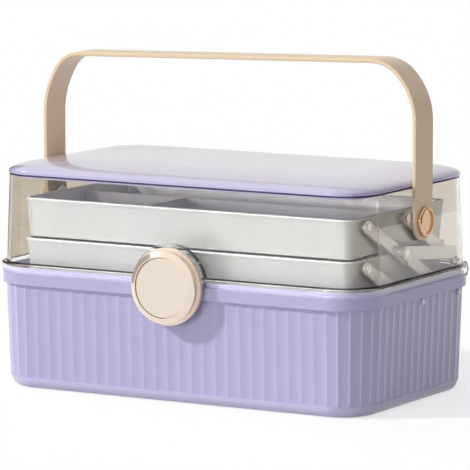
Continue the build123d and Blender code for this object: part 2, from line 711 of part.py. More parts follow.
with BuildPart() as latch_lever:
    front_block(LEVER_MIDDLE, LEVER_WIDTH, LEVER_SPAN, LEVER_FRONT + LEVER_THICK, LEVER_FRONT)
    # Hub round the pin, and the nose that reaches back towards the tub's rim
    hub_radius = LEVER_PIN_RADIUS + LEVER_THICK / 2
    side_disc(1, (LEVER_PIN_Y, LATCH_Z), hub_radius, -LEVER_WIDTH / 2, LEVER_WIDTH / 2)
    front_block(
        (0, LATCH_Z + LEVER_BOTTOM + LEVER_NOSE / 2),
        LEVER_WIDTH,
        LEVER_NOSE,
        RIM_FRONT - LEVER_NOSE_GAP,
        LEVER_FRONT,
    )
    side_disc(
        1,
        (LEVER_PIN_Y, LATCH_Z),
        LEVER_PIN_RADIUS + PIN_CLEARANCE,
        -LEVER_WIDTH / 2 - CUT_PAST,
        LEVER_WIDTH / 2 + CUT_PAST,
        Mode.SUBTRACT,
    )
save(latch_lever, "latch_lever")

with BuildPart() as latch_lever_pin:
    pin_reach = LEVER_WIDTH / 2 + LUG_GAP + LUG_WIDTH
    side_disc(1, (LEVER_PIN_Y, LATCH_Z), LEVER_PIN_RADIUS, -pin_reach, pin_reach)
save(latch_lever_pin, "latch_lever_pin")

# Return spring between the housing floor and the button
SPRING_BACK = HOUSING_FLOOR - SPRING_WIRE - PIN_CLEARANCE
SPRING_LENGTH = SPRING_BACK - (BUTTON_BACK + SPRING_WIRE + PIN_CLEARANCE)
SPRING_PITCH = SPRING_LENGTH / SPRING_TURNS

with BuildPart() as latch_spring:
    with BuildLine() as spring_path:
        Helix(
            pitch=SPRING_PITCH,
            height=SPRING_LENGTH,
            radius=SPRING_RADIUS,
            center=(0, SPRING_BACK, LATCH_Z),
            direction=(0, -1, 0),
        )
    with BuildSketch(Plane(origin=spring_path.line @ 0, z_dir=spring_path.line % 0)):
        Circle(SPRING_WIRE)
    sweep(is_frenet=True)
print("latch spring gap between turns:", round(SPRING_PITCH - 2 * SPRING_WIRE, 2))
save(latch_spring, "latch_spring")

SCREW_Z = LATCH_Z + SCREW_RISE
SCREW_SEAT = -(FLANGE_DEPTH / 2 - lid_inset(SCREW_Z - SCREW_HEAD_RADIUS) - LID_WALL) + 2 * PIN_CLEARANCE
SCREW_SEAT += 2 * SCREW_HEAD_RADIUS * LID_DRAFT

with BuildPart() as latch_screws:
    for sign in SIDES.values():
        centre = (sign * SCREW_X, SCREW_Z)
        front_disc(centre, SCREW_RADIUS, SCREW_SEAT, LATCH_TAB_FRONT - SCREW_BITE + SCREW_TIP_GAP)
        front_disc(centre, SCREW_HEAD_RADIUS, SCREW_SEAT + SCREW_HEAD, SCREW_SEAT)
save(latch_screws, "latch_screws")

# ---------------------------------------------------------------- trays


def tray_outline(z, inset):
    """Rounded rectangle at height z, the tray's rim outline brought in by inset."""
    with BuildSketch(Plane.XY.offset(z)) as outline:
        RectangleRounded(TRAY_WIDTH - 2 * inset, TRAY_DEPTH - 2 * inset, TRAY_RADIUS - inset)
    return outline.sketch


def tray(top, pivots_y):
    """Open tray whose rim is at height top, with a boss and a through hole at each pivot."""
    floor = top - TRAY_HEIGHT
    pivot_z = top - TRAY_PIVOT_DROP
    boss_end = TRAY_WIDTH / 2 + TRAY_BOSS_STAND
    boss_start = TRAY_WIDTH / 2 - TRAY_DRAFT - TRAY_WALL
    with BuildPart() as hollow:
        hollow_foot = tray_outline(floor + TRAY_FLOOR, TRAY_DRAFT + TRAY_WALL)
        hollow_mouth = tray_outline(top, TRAY_WALL)
        loft([hollow_foot, hollow_mouth], ruled=True)
        fillet(hollow.edges().group_by(Axis.Z)[0], radius=TRAY_FILLET)
    with BuildPart() as shell:
        loft([tray_outline(floor, TRAY_DRAFT), tray_outline(top, 0)], ruled=True)
        fillet(shell.edges().group_by(Axis.Z)[0], radius=TRAY_FOOT_FILLET)
        extrude(tray_outline(top - TRAY_BEAD_HEIGHT, -TRAY_BEAD), amount=TRAY_BEAD_HEIGHT)
        fillet(shell.edges().group_by(Axis.Z)[-1], radius=TRAY_BEAD)
        for side in SIDES.values():
            for pivot_y in pivots_y:
                side_disc(side, (pivot_y, pivot_z), BOSS_RADIUS - TRAY_BEAD, boss_start, boss_end)
        add(hollow.part, mode=Mode.SUBTRACT)
        for side in SIDES.values():
            for pivot_y in pivots_y:
                hole = PIN_RADIUS + PIN_CLEARANCE
                side_disc(
                    side,
                    (pivot_y, pivot_z),
                    hole,
                    boss_start - CUT_PAST,
                    boss_end + CUT_PAST,
                    Mode.SUBTRACT,
                )
    return shell


upper_tray = tray(UPPER_TRAY_TOP, (FRONT_PIVOT_Y, MID_PIVOT_Y))
save(upper_tray, "upper_tray")

lower_tray = tray(LOWER_TRAY_TOP, (FRONT_PIVOT_Y, MID_PIVOT_Y, REAR_PIVOT_Y))
save(lower_tray, "lower_tray")

# Dividers that stand on the upper tray's floor and stop short of its rim
DIVIDER_FOOT = UPPER_TRAY_TOP - TRAY_HEIGHT + TRAY_FLOOR + DIVIDER_GAP
DIVIDER_TOP = UPPER_TRAY_TOP - DIVIDER_DROP


def divider_half(z, half_size):
    """Half length of a divider at height z that clears both drafted walls."""
    draft = TRAY_DRAFT * (UPPER_TRAY_TOP - z) / TRAY_HEIGHT
    return half_size - TRAY_WALL - draft - DIVIDER_GAP


with BuildPart() as upper_tray_long_divider:
    with BuildSketch(front_plane(LONG_DIVIDER_Y + DIVIDER_WALL / 2)):
        with BuildLine():
            foot = divider_half(DIVIDER_FOOT, TRAY_WIDTH / 2)
            head = divider_half(DIVIDER_TOP, TRAY_WIDTH / 2) - PIN_INSIDE
            Polyline(
                (-foot, DIVIDER_FOOT),
                (foot, DIVIDER_FOOT),
                (head, DIVIDER_TOP),
                (-head, DIVIDER_TOP),
                close=True,
            )
        make_face()
    extrude(amount=DIVIDER_WALL)
    floor_corners = upper_tray_long_divider.edges().filter_by(Axis.Y).group_by(Axis.Z)[0]
    chamfer(floor_corners, length=TRAY_FILLET)
save(upper_tray_long_divider, "upper_tray_long_divider")

with BuildPart() as upper_tray_cross_divider:
    with BuildSketch(side_plane(CROSS_DIVIDER_X - DIVIDER_WALL / 2)):
        with BuildLine():
            back = LONG_DIVIDER_Y - DIVIDER_WALL / 2 - DIVIDER_GAP
            foot = -divider_half(DIVIDER_FOOT, TRAY_DEPTH / 2)
            head = -divider_half(DIVIDER_TOP, TRAY_DEPTH / 2)
            Polyline(
                (foot, DIVIDER_FOOT),
                (back, DIVIDER_FOOT),
                (back, DIVIDER_TOP),
                (head, DIVIDER_TOP),
                close=True,
            )
        make_face()
    extrude(amount=DIVIDER_WALL)
    floor_corners = upper_tray_cross_divider.edges().filter_by(Axis.X).group_by(Axis.Z)[0]
    front_corner = floor_corners.sort_by(Axis.Y)[0]
    chamfer(front_corner, length=TRAY_FILLET)
save(upper_tray_cross_divider, "upper_tray_cross_divider")

# ---------------------------------------------------------------- arms

UPPER_FRONT = (FRONT_PIVOT_Y, UPPER_PIVOT_Z)
UPPER_MID = (MID_PIVOT_Y, UPPER_PIVOT_Z)
LOWER_FRONT = (FRONT_PIVOT_Y, LOWER_PIVOT_Z)
LOWER_MID = (MID_PIVOT_Y, LOWER_PIVOT_Z)
LOWER_REAR = (REAR_PIVOT_Y, LOWER_PIVOT_Z)
BASE_MID = (MID_PIVOT_Y, BASE_PIVOT_Z)
BASE_REAR = (REAR_PIVOT_Y, BASE_PIVOT_Z)
# On the long arm's own axis, between its front and middle pivots
LINK_FRONT = (LINK_FRONT_Y, UPPER_PIVOT_Z - (LINK_FRONT_Y - FRONT_PIVOT_Y) * ARM_STEP_Z / ARM_STEP_Y)


def bar(side, start, end, inner, outer, radius=ARM_RADIUS):
    """Straight round-ended bar between two points, in one layer."""
    plane, thick = side_span(side, inner, outer)
    run = (end[0] - start[0], end[1] - start[1])
    with BuildSketch(plane) as outline:
        with Locations(((start[0] + end[0]) / 2, (start[1] + end[1]) / 2)):
            SlotCenterToCenter(hypot(*run), 2 * radius, rotation=degrees(atan2(run[1], run[0])))
    extrude(outline.sketch, amount=thick)


def drill(side, centres, inner, outer):
    """Running holes for the pivot pins through one layer."""
    for centre in centres:
        hole = PIN_RADIUS + PIN_CLEARANCE
        side_disc(side, centre, hole, inner - CUT_PAST, outer + CUT_PAST, Mode.SUBTRACT)


def edged_bar(side, start, end, inner, outer):
    """Bar whose outline edges are broken."""
    with BuildPart() as solid:
        bar(side, start, end, inner, outer)
        chamfer(solid.edges(), length=ARM_EDGE)
    return solid.part


def flat_arm(side, start, end):
    """Short arm in the layer next to the trays."""
    half = edged_bar(side, start, end, LAYER_A_IN, LAYER_A_OUT)
    with BuildPart() as arm:
        add(half)
        drill(side, (start, end), LAYER_A_IN, LAYER_A_OUT)
    return arm


def long_arm(side):
    """Arm in two layers, stepped outwards at its middle so that its lower half clears the trays."""
    upper_half = edged_bar(side, UPPER_FRONT, LOWER_MID, LAYER_A_IN, LAYER_A_OUT)
    lower_half = edged_bar(side, LOWER_MID, BASE_REAR, LAYER_A_OUT, LAYER_B_OUT)
    with BuildPart() as arm:
        add(upper_half)
        add(lower_half)
        drill(side, (UPPER_FRONT, LINK_FRONT, LOWER_MID, BASE_REAR), LAYER_A_IN, LAYER_B_OUT)
    return arm


def lid_link(side):
    """Link from the long arm to the lid, bent down at its rear end to the lid's pin."""
    plane, thick = side_span(side, LAYER_C_IN, LAYER_C_OUT)
    knee = (LINK_PIN_Y - LINK_KNEE, LINK_PIN_Z + LINK_RISE_REAR)
    slot = (LINK_PIN_Y - LINK_SLOT_SHIFT, LINK_PIN_Z + LINK_SLOT_TRAVEL / 2)
    slot_low = (slot[0], slot[1] - LINK_SLOT_TRAVEL / 2)
    slot_high = (slot[0], slot[1] + LINK_SLOT_TRAVEL / 2)
    with BuildPart() as link:
        bar(side, LINK_FRONT, knee, LAYER_C_IN, LAYER_C_OUT)
        bar(side, knee, slot_high, LAYER_C_IN, LAYER_C_OUT, LINK_END_RADIUS)
        bar(side, slot_high, slot_low, LAYER_C_IN, LAYER_C_OUT, LINK_END_RADIUS)
        drill(side, (LINK_FRONT,), LAYER_C_IN, LAYER_C_OUT)
        with BuildSketch(plane):
            with Locations(slot):
                SlotCenterToCenter(LINK_SLOT_TRAVEL, 2 * LINK_SLOT_RADIUS, rotation=90)
        extrude(amount=thick, mode=Mode.SUBTRACT)
    return link


for name, side in SIDES.items():
    save(long_arm(side), f"long_arm_{name}")
    save(flat_arm(side, LOWER_FRONT, BASE_MID), f"lower_arm_{name}")
    save(flat_arm(side, UPPER_MID, LOWER_REAR), f"upper_arm_{name}")
    save(lid_link(side), f"lid_link_{name}")

# ---------------------------------------------------------------- pivot pins

TRAY_PIN_START = TRAY_WIDTH / 2 - TRAY_DRAFT - TRAY_WALL - PIN_INSIDE


def pin(side, centre, start, head_start):
    """Round pin along X with a thin head at its outer end."""
    side_disc(side, centre, PIN_RADIUS, start, head_start)
    side_disc(side, centre, PIN_HEAD_RADIUS, head_start, head_start + PIN_HEAD)


with BuildPart() as upper_tray_pins:
    for side in SIDES.values():
        for centre in (UPPER_FRONT, UPPER_MID):
            pin(side, centre, TRAY_PIN_START, LAYER_A_OUT + PIN_CLEARANCE)
save(upper_tray_pins, "upper_tray_pins")

with BuildPart() as lower_tray_pins:
    for side in SIDES.values():
        for centre in (LOWER_FRONT, LOWER_REAR):
            pin(side, centre, TRAY_PIN_START, LAYER_A_OUT + PIN_CLEARANCE)
        # The middle pin is flush outside, where the link passes, and has its head in the tray
        side_disc(side, LOWER_MID, PIN_RADIUS, TRAY_PIN_START, LAYER_B_OUT)
        side_disc(side, LOWER_MID, PIN_HEAD_RADIUS, TRAY_PIN_START - PIN_HEAD, TRAY_PIN_START)
save(lower_tray_pins, "lower_tray_pins")

for name, side in SIDES.items():
    with BuildPart() as link_pivot_pin:
        # Shouldered pin: the shoulder spaces the link off the arm
        shoulder_in = LAYER_A_OUT + PIN_CLEARANCE
        side_disc(side, LINK_FRONT, PIN_HEAD_RADIUS, shoulder_in, LAYER_C_IN - PIN_CLEARANCE)
        pin(side, LINK_FRONT, LAYER_A_IN, LAYER_C_OUT + PIN_CLEARANCE)
    save(link_pivot_pin, f"link_pivot_pin_{name}")

# The pins end outside the tub's wall, or outside its rim where they stand that high
PIN_END_INSET = RIM_INSET if BASE_PIVOT_Z + PIN_END_RADIUS > RIM_BOTTOM else tub_inset(BASE_PIVOT_Z)
BASE_PIN_END = FLANGE_WIDTH / 2 - PIN_END_INSET + 2 * PIN_CLEARANCE

with BuildPart() as base_pivot_pins:
    for side in SIDES.values():
        for centre, layer_in in ((BASE_REAR, LAYER_A_OUT), (BASE_MID, LAYER_A_IN)):
            head_start = layer_in - PIN_CLEARANCE - PIN_HEAD
            side_disc(side, centre, PIN_HEAD_RADIUS, head_start, head_start + PIN_HEAD)
            side_disc(side, centre, PIN_RADIUS, head_start + PIN_HEAD, BASE_PIN_END)
            side_disc(side, centre, PIN_END_RADIUS, BASE_PIN_END, BASE_PIN_END + PIN_HEAD)
save(base_pivot_pins, "base_pivot_pins")

with BuildPart() as lid_link_pins:
    for side in SIDES.values():
        link_pin = (LINK_PIN_Y, LINK_PIN_Z)
        head_start = LAYER_C_IN - PIN_CLEARANCE - PIN_HEAD
        side_disc(side, link_pin, PIN_HEAD_RADIUS, head_start, head_start + PIN_HEAD)
        side_disc(side, link_pin, PIN_RADIUS, head_start + PIN_HEAD, LINK_PIN_HOLE_END - LINK_PIN_TIP_GAP)
save(lid_link_pins, "lid_link_pins")

with BuildPart() as hinge_pins:
    for side in SIDES.values():
        pin_start = LID_KNUCKLES[0][0] + HINGE_PIN_INSET
        pin_end = LID_KNUCKLES[1][1] - HINGE_PIN_INSET
        side_disc(side, (HINGE_Y, HINGE_Z), HINGE_PIN_RADIUS, pin_start, pin_end)
save(hinge_pins, "hinge_pins")
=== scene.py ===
"""Looks of the storage case: camera, studio, procedural materials and small mesh details. Metres."""

from math import acos, cos, pi, radians, sin

import bmesh
import bpy
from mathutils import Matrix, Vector


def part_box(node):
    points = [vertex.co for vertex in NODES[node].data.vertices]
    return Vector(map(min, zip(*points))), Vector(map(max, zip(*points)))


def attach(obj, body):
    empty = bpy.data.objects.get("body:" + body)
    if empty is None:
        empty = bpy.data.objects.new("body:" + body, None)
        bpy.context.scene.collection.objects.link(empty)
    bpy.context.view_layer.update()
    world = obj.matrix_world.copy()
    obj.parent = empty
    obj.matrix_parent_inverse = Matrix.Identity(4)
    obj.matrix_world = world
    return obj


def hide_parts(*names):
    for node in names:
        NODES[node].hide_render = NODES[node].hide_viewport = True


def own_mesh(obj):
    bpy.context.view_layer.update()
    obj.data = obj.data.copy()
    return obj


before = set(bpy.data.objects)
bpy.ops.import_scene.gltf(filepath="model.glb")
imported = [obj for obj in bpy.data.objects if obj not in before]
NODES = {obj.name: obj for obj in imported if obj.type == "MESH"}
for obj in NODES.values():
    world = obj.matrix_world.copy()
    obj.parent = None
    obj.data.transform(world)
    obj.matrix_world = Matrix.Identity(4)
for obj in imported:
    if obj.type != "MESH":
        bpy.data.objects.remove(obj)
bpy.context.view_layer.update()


def add_object(name, data):
    """New object in the scene that holds this mesh, lamp or camera."""
    made = bpy.data.objects.new(name, data)
    bpy.context.scene.collection.objects.link(made)
    return made


def aim(thing, towards):
    """Turn a camera or lamp to look in this direction."""
    thing.rotation_mode = "QUATERNION"
    thing.rotation_quaternion = towards.to_track_quat("-Z", "Y")


def direction(azimuth, elevation):
    """Unit vector towards a viewer at that azimuth and elevation, azimuth 0 being in front."""
    flat = cos(elevation)
    return Vector((sin(azimuth) * flat, -cos(azimuth) * flat, sin(elevation)))


# ---------------------------------------------------------------- camera

CAMERA_AZIMUTH = radians(30.03)
CAMERA_ELEVATION = radians(7.54)
CAMERA_DISTANCE = 3.163
CAMERA_TARGET = Vector((0.0009, 0.0, 0.1183))
CAMERA_REACH = 50
SENSOR_MM = 36.0
FOCAL_MM = 313.3


def make_camera():
    """The photo's view, from the front right and a little above."""
    data = bpy.data.cameras.new("camera")
    data.sensor_width = SENSOR_MM
    data.lens = FOCAL_MM
    data.clip_end = CAMERA_REACH
    camera = add_object("camera", data)
    back = direction(CAMERA_AZIMUTH, CAMERA_ELEVATION)
    camera.location = CAMERA_TARGET + back * CAMERA_DISTANCE
    aim(camera, -back)
    bpy.context.scene.camera = camera


# ---------------------------------------------------------------- node helpers

# Noise seldom leaves this range, so it is stretched from here to the full range
NOISE_LOW = 0.3
NOISE_HIGH = 0.7


class Tree:
    """A material or world node tree, with short calls to add and link nodes."""

    def __init__(self, owner):
        owner.use_nodes = True
        self.tree = owner.node_tree
        self.tree.nodes.clear()

    def node(self, kind, inputs=None, **settings):
        made = self.tree.nodes.new("ShaderNode" + kind)
        for key, value in settings.items():
            setattr(made, key, value)
        for key, value in (inputs or {}).items():
            self.feed(made.inputs[key], value)
        return made

    def feed(self, socket, value):
        """Link a socket into this one, or set its value."""
        if isinstance(value, bpy.types.NodeSocket):
            self.tree.links.new(value, socket)
        elif isinstance(value, tuple) and len(value) == 3 and socket.type == "RGBA":
            socket.default_value = (*value, 1.0)
        else:
            socket.default_value = value

    def place(self):
        return self.node("TexCoord").outputs["Object"]

    def normal(self):
        return self.node("TexCoord").outputs["Normal"]

    def split(self, vector):
        """The x, y and z sockets of a vector."""
        return tuple(self.node("SeparateXYZ", {0: vector}).outputs)

    def noise(self, scale, detail=3.0, stretch=None):
        where = self.place()
        if stretch:
            where = self.node("Mapping", {"Vector": where, "Scale": stretch}).outputs[0]
        return self.node("TexNoise", {"Vector": where, "Scale": scale, "Detail": detail}).outputs["Fac"]

    def spread(self, value, low, high, start=NOISE_LOW, end=NOISE_HIGH):
        """Map a value from the range start to end to the range low to high, and hold it outside."""
        settings = {"Value": value, "From Min": start, "From Max": end, "To Min": low, "To Max": high}
        return self.node("MapRange", settings).outputs[0]

    def math(self, operation, *values):
        return self.node("Math", dict(enumerate(values)), operation=operation).outputs[0]

    def tint(self, share, low, high):
        """Mix two colours: low at share 0, high at share 1."""
        mix = self.node("Mix", data_type="RGBA")
        factor, first, second = mix.inputs[0], mix.inputs[6], mix.inputs[7]
        self.feed(factor, share)
        self.feed(first, low)
        self.feed(second, high)
        return mix.outputs[2]

    def choose(self, share, low, high):
        """Mix two numbers: low at share 0, high at share 1."""
        return self.node("Mix", {0: share, 2: low, 3: high}, data_type="FLOAT").outputs[0]

    def bump(self, height, strength, distance, normal=None):
        settings = {"Height": height, "Strength": strength, "Distance": distance}
        if normal is not None:
            settings["Normal"] = normal
        return self.node("Bump", settings).outputs[0]


def new_material(name):
    """A new material and its empty node tree."""
    material = bpy.data.materials.new(name)
    return material, Tree(material)


def surface(tree, base, gloss, normal, metallic=0.0, coat=0.0, coat_roughness=0.03):
    """Close a material with an opaque surface under a clear coat."""
    shader = tree.node("BsdfPrincipled", {"Base Color": base, "Roughness": gloss, "Normal": normal})
    shader.inputs["Metallic"].default_value = metallic
    shader.inputs["Coat Weight"].default_value = coat
    shader.inputs["Coat Roughness"].default_value = coat_roughness
    tree.node("OutputMaterial", {"Surface": shader.outputs[0]})


def srgb(red, green, blue):
    """Linear colour from 0 to 255 display values."""

    def linear(value):
        share = value / 255
        return share / 12.92 if share <= 0.04045 else ((share + 0.055) / 1.055) ** 2.4

    return (linear(red), linear(green), linear(blue))


def scaled(colour, factor):
    """A colour made lighter or darker, at most white."""
    return tuple(min(1.0, channel * factor) for channel in colour)


# ---------------------------------------------------------------- colours

WHITE = (1.0, 1.0, 1.0)
LAVENDER = srgb(192, 187, 226)
PANEL_LAVENDER = srgb(216, 211, 236)
# Painted shade at the panel's foot
PANEL_FOOT_SHADE = srgb(203, 196, 232)
# Painted highlight colour for the flute ridges and the top edge of the tub's plain foot
RIDGE_HIGHLIGHT = srgb(232, 228, 250)
TRAY_GREY = srgb(203, 205, 204)
# Painted bounce light on the trays' inner walls, then a painted highlight along their rims
TRAY_INSIDE_BOUNCE = srgb(238, 237, 244)
TRAY_RIM_HIGHLIGHT = srgb(222, 222, 221)
ARM_GREY = srgb(248, 247, 243)
PIN_GREY = srgb(250, 250, 249)
PIN_LAVENDER = srgb(250, 249, 253)
LEVER_GREY = srgb(215, 214, 210)
STEEL = srgb(190, 190, 192)
CREAM = srgb(242, 217, 181)
KNOB_RING = srgb(250, 232, 214)
KNOB_FACE = srgb(246, 232, 215)
ROSE_GOLD = srgb(212, 178, 144)
CLEAR_FRONT = srgb(254, 254, 253)
# Painted shade seen through the lid towards its rear and its right and left ends
CLEAR_REAR_SHADE = srgb(226, 218, 209)
CLEAR_RIGHT_SHADE = srgb(244, 240, 234)
CLEAR_LEFT_SHADE = srgb(194, 178, 156)
CLEAR_SHADE = srgb(250, 249, 248)
# Painted shade on the lid's outlines, then painted dark lines at the wall foot and for the panel's shadow under
# the lid top
EDGE_SHADE = srgb(70, 52, 40)
FOOT_SHADE_LINE = srgb(58, 44, 40)
PANEL_SHADOW_LINE = srgb(96, 78, 140)

# ---------------------------------------------------------------- materials

# Noise patterns that several materials share
FLOW = {"scale": 14, "detail": 4}
PATCHES = {"scale": 60, "detail": 5}
GRAIN = {"scale": 2600, "detail": 2}

# Where the clear lid's painted shade tints begin and are full
WALL_FOOT_Z = 0.0977
WALL_FOOT_BLEND = 0.0004
REAR_SHADE_Y = (0.03, 0.085)
END_SHADE_X = (0.136, 0.158)
LEFT_SHADE_Y = (-0.088, -0.083)
# Facing range over which the painted outline shade grows
EDGE_SHADE_FACING = (0.78, 0.96)
UPRIGHT_NORMAL = 0.5
PLASTIC_IOR = 1.49

# How far below and above its height each painted shade line of the lid reaches
FOOT_LINE_REACH = (0.0001, 0.0005)
TOP_LINE_REACH = (0.0014, 0.001)

# Below this product of position and normal a tray wall faces inwards
FACING_IN = 0.004
# Where the painted highlight along a tray's rim begins below the rim top and where it is full
RIM_HIGHLIGHT_START = 0.0014
RIM_HIGHLIGHT_FULL = 0.0006

# Where the tub's flutes run, as in the CAD
FLUTED_HALF_X = 0.132
FLUTED_HALF_Y = 0.0635
FLUTE_PITCH_X = 2 * FLUTED_HALF_X / 25
FLUTE_PITCH_Y = 2 * FLUTED_HALF_Y / 12
FLUTES_PER_CORNER = 5
BAND_TOP = 0.009
RIM_LOW = 0.0816
FLUTE_FOOT_FADE = 0.004
FLUTE_TOP_FADE = 0.002
# Strength of the painted highlight on the ridges of the front and rear walls, and of the sides and corners
FRONT_RIDGE_HIGHLIGHT = 0.12
SIDE_RIDGE_HIGHLIGHT = 0.75


def moulded(name, colour, roughness, mottle=0.03, grain=0.06, coat=0.0, metallic=0.0):
    """Injection-moulded plastic: faint flow mottling, fine surface grain, uneven gloss."""
    material, tree = new_material(name)
    flow = tree.spread(tree.noise(**FLOW), 0, 1)
    base = tree.tint(flow, scaled(colour, 1 - mottle), scaled(colour, 1 + mottle))
    gloss = tree.spread(tree.noise(**PATCHES), low=roughness - 0.04, high=roughness + 0.05)
    normal = tree.bump(tree.noise(45, detail=2), strength=0.10, distance=0.0004)
    normal = tree.bump(tree.noise(**GRAIN), strength=grain, distance=0.00006, normal=normal)
    surface(tree, base, gloss, normal, metallic, coat, coat_roughness=0.08)
    return material


def clear_plastic(name, shade_lines):
    """Clear moulded plastic: clear in front, with painted shade towards its ends and rear and on its outlines,
    and painted dark shade lines at some heights.
    """
    material, tree = new_material(name)
    x, y, z = tree.split(tree.place())
    # Painted shade, darker towards the rear, the right end, and the left end behind the front
    base = tree.tint(tree.spread(y, 0, 1, *REAR_SHADE_Y), CLEAR_FRONT, CLEAR_REAR_SHADE)
    base = tree.tint(tree.spread(x, 0, 1, *END_SHADE_X), base, CLEAR_RIGHT_SHADE)
    at_left = tree.spread(x, 1, 0, -END_SHADE_X[1], -END_SHADE_X[0])
    behind_front = tree.spread(y, 0, 1, *LEFT_SHADE_Y)
    base = tree.tint(tree.math("MULTIPLY", at_left, behind_front), base, CLEAR_LEFT_SHADE)
    # Faint upright streaks of the right end's painted shade colour
    streak = tree.spread(tree.noise(9, detail=2, stretch=(1.0, 1.0, 0.35)), low=0, high=0.12)
    base = tree.tint(streak, base, CLEAR_RIGHT_SHADE)
    wall = tree.spread(z, 0, 1, WALL_FOOT_Z - WALL_FOOT_BLEND, WALL_FOOT_Z + WALL_FOOT_BLEND)
    base = tree.tint(wall, CLEAR_FRONT, base)
    # Painted shade on upright surfaces that turn away from view, darkest at their outlines
    facing = tree.node("LayerWeight", {"Blend": 0.5}).outputs["Facing"]
    upright = tree.math("LESS_THAN", tree.math("ABSOLUTE", tree.split(tree.normal())[2]), UPRIGHT_NORMAL)
    edge_shade = tree.math("MULTIPLY", tree.spread(facing, 0, 1, *EDGE_SHADE_FACING), upright)
    base = tree.tint(edge_shade, base, EDGE_SHADE)
    # Painted dark shade lines: one at the foot of the walls, one for the panel's shadow under the lid top
    for low, high, colour in shade_lines:
        above = tree.math("GREATER_THAN", z, low)
        below = tree.math("LESS_THAN", z, high)
        base = tree.tint(tree.math("MULTIPLY", above, below), base, colour)
    normal = tree.bump(tree.noise(16, detail=1), strength=0.02, distance=0.0003)
    shader = tree.node("BsdfPrincipled", {"Base Color": base, "Roughness": 0.0, "Normal": normal})
    shader.inputs["IOR"].default_value = PLASTIC_IOR
    shader.inputs["Transmission Weight"].default_value = 1.0
    through = tree.node("BsdfTransparent", {"Color": CLEAR_SHADE})
    shadow = tree.node("LightPath").outputs["Is Shadow Ray"]
    mix = tree.node("MixShader", {0: shadow, 1: shader.outputs[0], 2: through.outputs[0]})
    tree.node("OutputMaterial", {"Surface": mix.outputs[0]})
    return material


def tray_plastic(name, rim):
    """Pearly moulded plastic with faint upright bands of tone, paler with painted bounce light on its inner
    walls and a painted highlight along its rim.
    """
    material, tree = new_material(name)
    x, y, z = tree.split(tree.place())
    # Faint upright bands of lighter and darker tone
    bands = tree.noise(42, detail=1, stretch=(1.0, 1.0, 0.03))
    base = tree.tint(tree.spread(bands, 0, 1, start=0.25, end=0.75), scaled(TRAY_GREY, 0.95), TRAY_GREY)
    flat = tree.node("CombineXYZ", {0: x, 1: y}).outputs[0]
    outward = tree.node("VectorMath", {0: flat, 1: tree.normal()}, operation="DOT_PRODUCT").outputs["Value"]
    # Painted lavender bounce light, paler, on the inward-facing walls
    base = tree.tint(tree.math("LESS_THAN", outward, FACING_IN), base, TRAY_INSIDE_BOUNCE)
    # Painted highlight along the top of the rim
    base = tree.tint(tree.spread(z, 0, 1, rim - RIM_HIGHLIGHT_START, rim - RIM_HIGHLIGHT_FULL), base, TRAY_RIM_HIGHLIGHT)
    gloss = tree.spread(tree.noise(20, detail=1), low=0.30, high=0.36)
    normal = tree.bump(tree.noise(**GRAIN), strength=0.04, distance=0.00005)
    surface(tree, base, gloss, normal, metallic=0.28, coat=0.25, coat_roughness=0.1)
    return material


def flute_share(tree, x, y):
    """0 in the middle of a flute and 0.5 at its ridges, and whether the place is on the front or rear wall."""
    past_x = tree.math("SUBTRACT", tree.math("ABSOLUTE", x), FLUTED_HALF_X)
    past_y = tree.math("SUBTRACT", tree.math("ABSOLUTE", y), FLUTED_HALF_Y)
    turn = tree.math("ARCTAN2", past_y, past_x)
    along_front = tree.math("DIVIDE", tree.math("ADD", x, FLUTED_HALF_X), FLUTE_PITCH_X)
    along_side = tree.math("DIVIDE", tree.math("ADD", y, FLUTED_HALF_Y), FLUTE_PITCH_Y)
    along_corner = tree.math("MULTIPLY", turn, FLUTES_PER_CORNER / (pi / 2))
    on_front = tree.math("LESS_THAN", past_x, 0.0)
    on_side = tree.math("LESS_THAN", past_y, 0.0)
    along = tree.choose(on_front, tree.choose(on_side, along_corner, along_side), along_front)
    share = tree.math("ABSOLUTE", tree.math("SUBTRACT", tree.math("FRACT", along), 0.5))
    return share, on_front


def fluted_plastic(name, colour):
    """The tub's plastic, its ridges a little lighter with painted highlights and its hollows a little darker
    with painted shade.
    """
    material, tree = new_material(name)
    x, y, z = tree.split(tree.place())
    share, on_front = flute_share(tree, x, y)
    over_band = tree.spread(z, 0, 1, BAND_TOP, BAND_TOP + FLUTE_FOOT_FADE)
    under_rim = tree.spread(z, 1, 0, RIM_LOW - FLUTE_TOP_FADE, RIM_LOW)
    fluted = tree.math("MULTIPLY", over_band, under_rim)
    # Painted highlight along the flute ridges, stronger on the sides than on the front and rear
    ridge_highlight = tree.math("MULTIPLY", tree.spread(share, 0, 1, start=0.40, end=0.49), fluted)
    # Painted shade in the middle of each flute hollow
    hollow = tree.math("MULTIPLY", tree.spread(share, 0.14, 0, start=0.0, end=0.34), fluted)
    highlight_strength = tree.choose(on_front, SIDE_RIDGE_HIGHLIGHT, FRONT_RIDGE_HIGHLIGHT)
    base = tree.tint(tree.spread(tree.noise(**FLOW), 0, 1), scaled(colour, 0.975), scaled(colour, 1.02))
    base = tree.tint(hollow, base, scaled(colour, 0.8))
    base = tree.tint(tree.math("MULTIPLY", ridge_highlight, highlight_strength), base, RIDGE_HIGHLIGHT)
    # Painted highlight along the top edge of the tub's plain foot, under its flutes
    band_edge_highlight = tree.spread(z, 0.35, 0, start=BAND_TOP - 0.001, end=BAND_TOP + 0.0005)
    base = tree.tint(band_edge_highlight, base, RIDGE_HIGHLIGHT)
    gloss = tree.spread(tree.noise(**PATCHES), low=0.3, high=0.4)
    normal = tree.bump(tree.noise(**GRAIN), strength=0.05, distance=0.00006)
    surface(tree, base, gloss, normal, coat=0.2, coat_roughness=0.12)
    return material


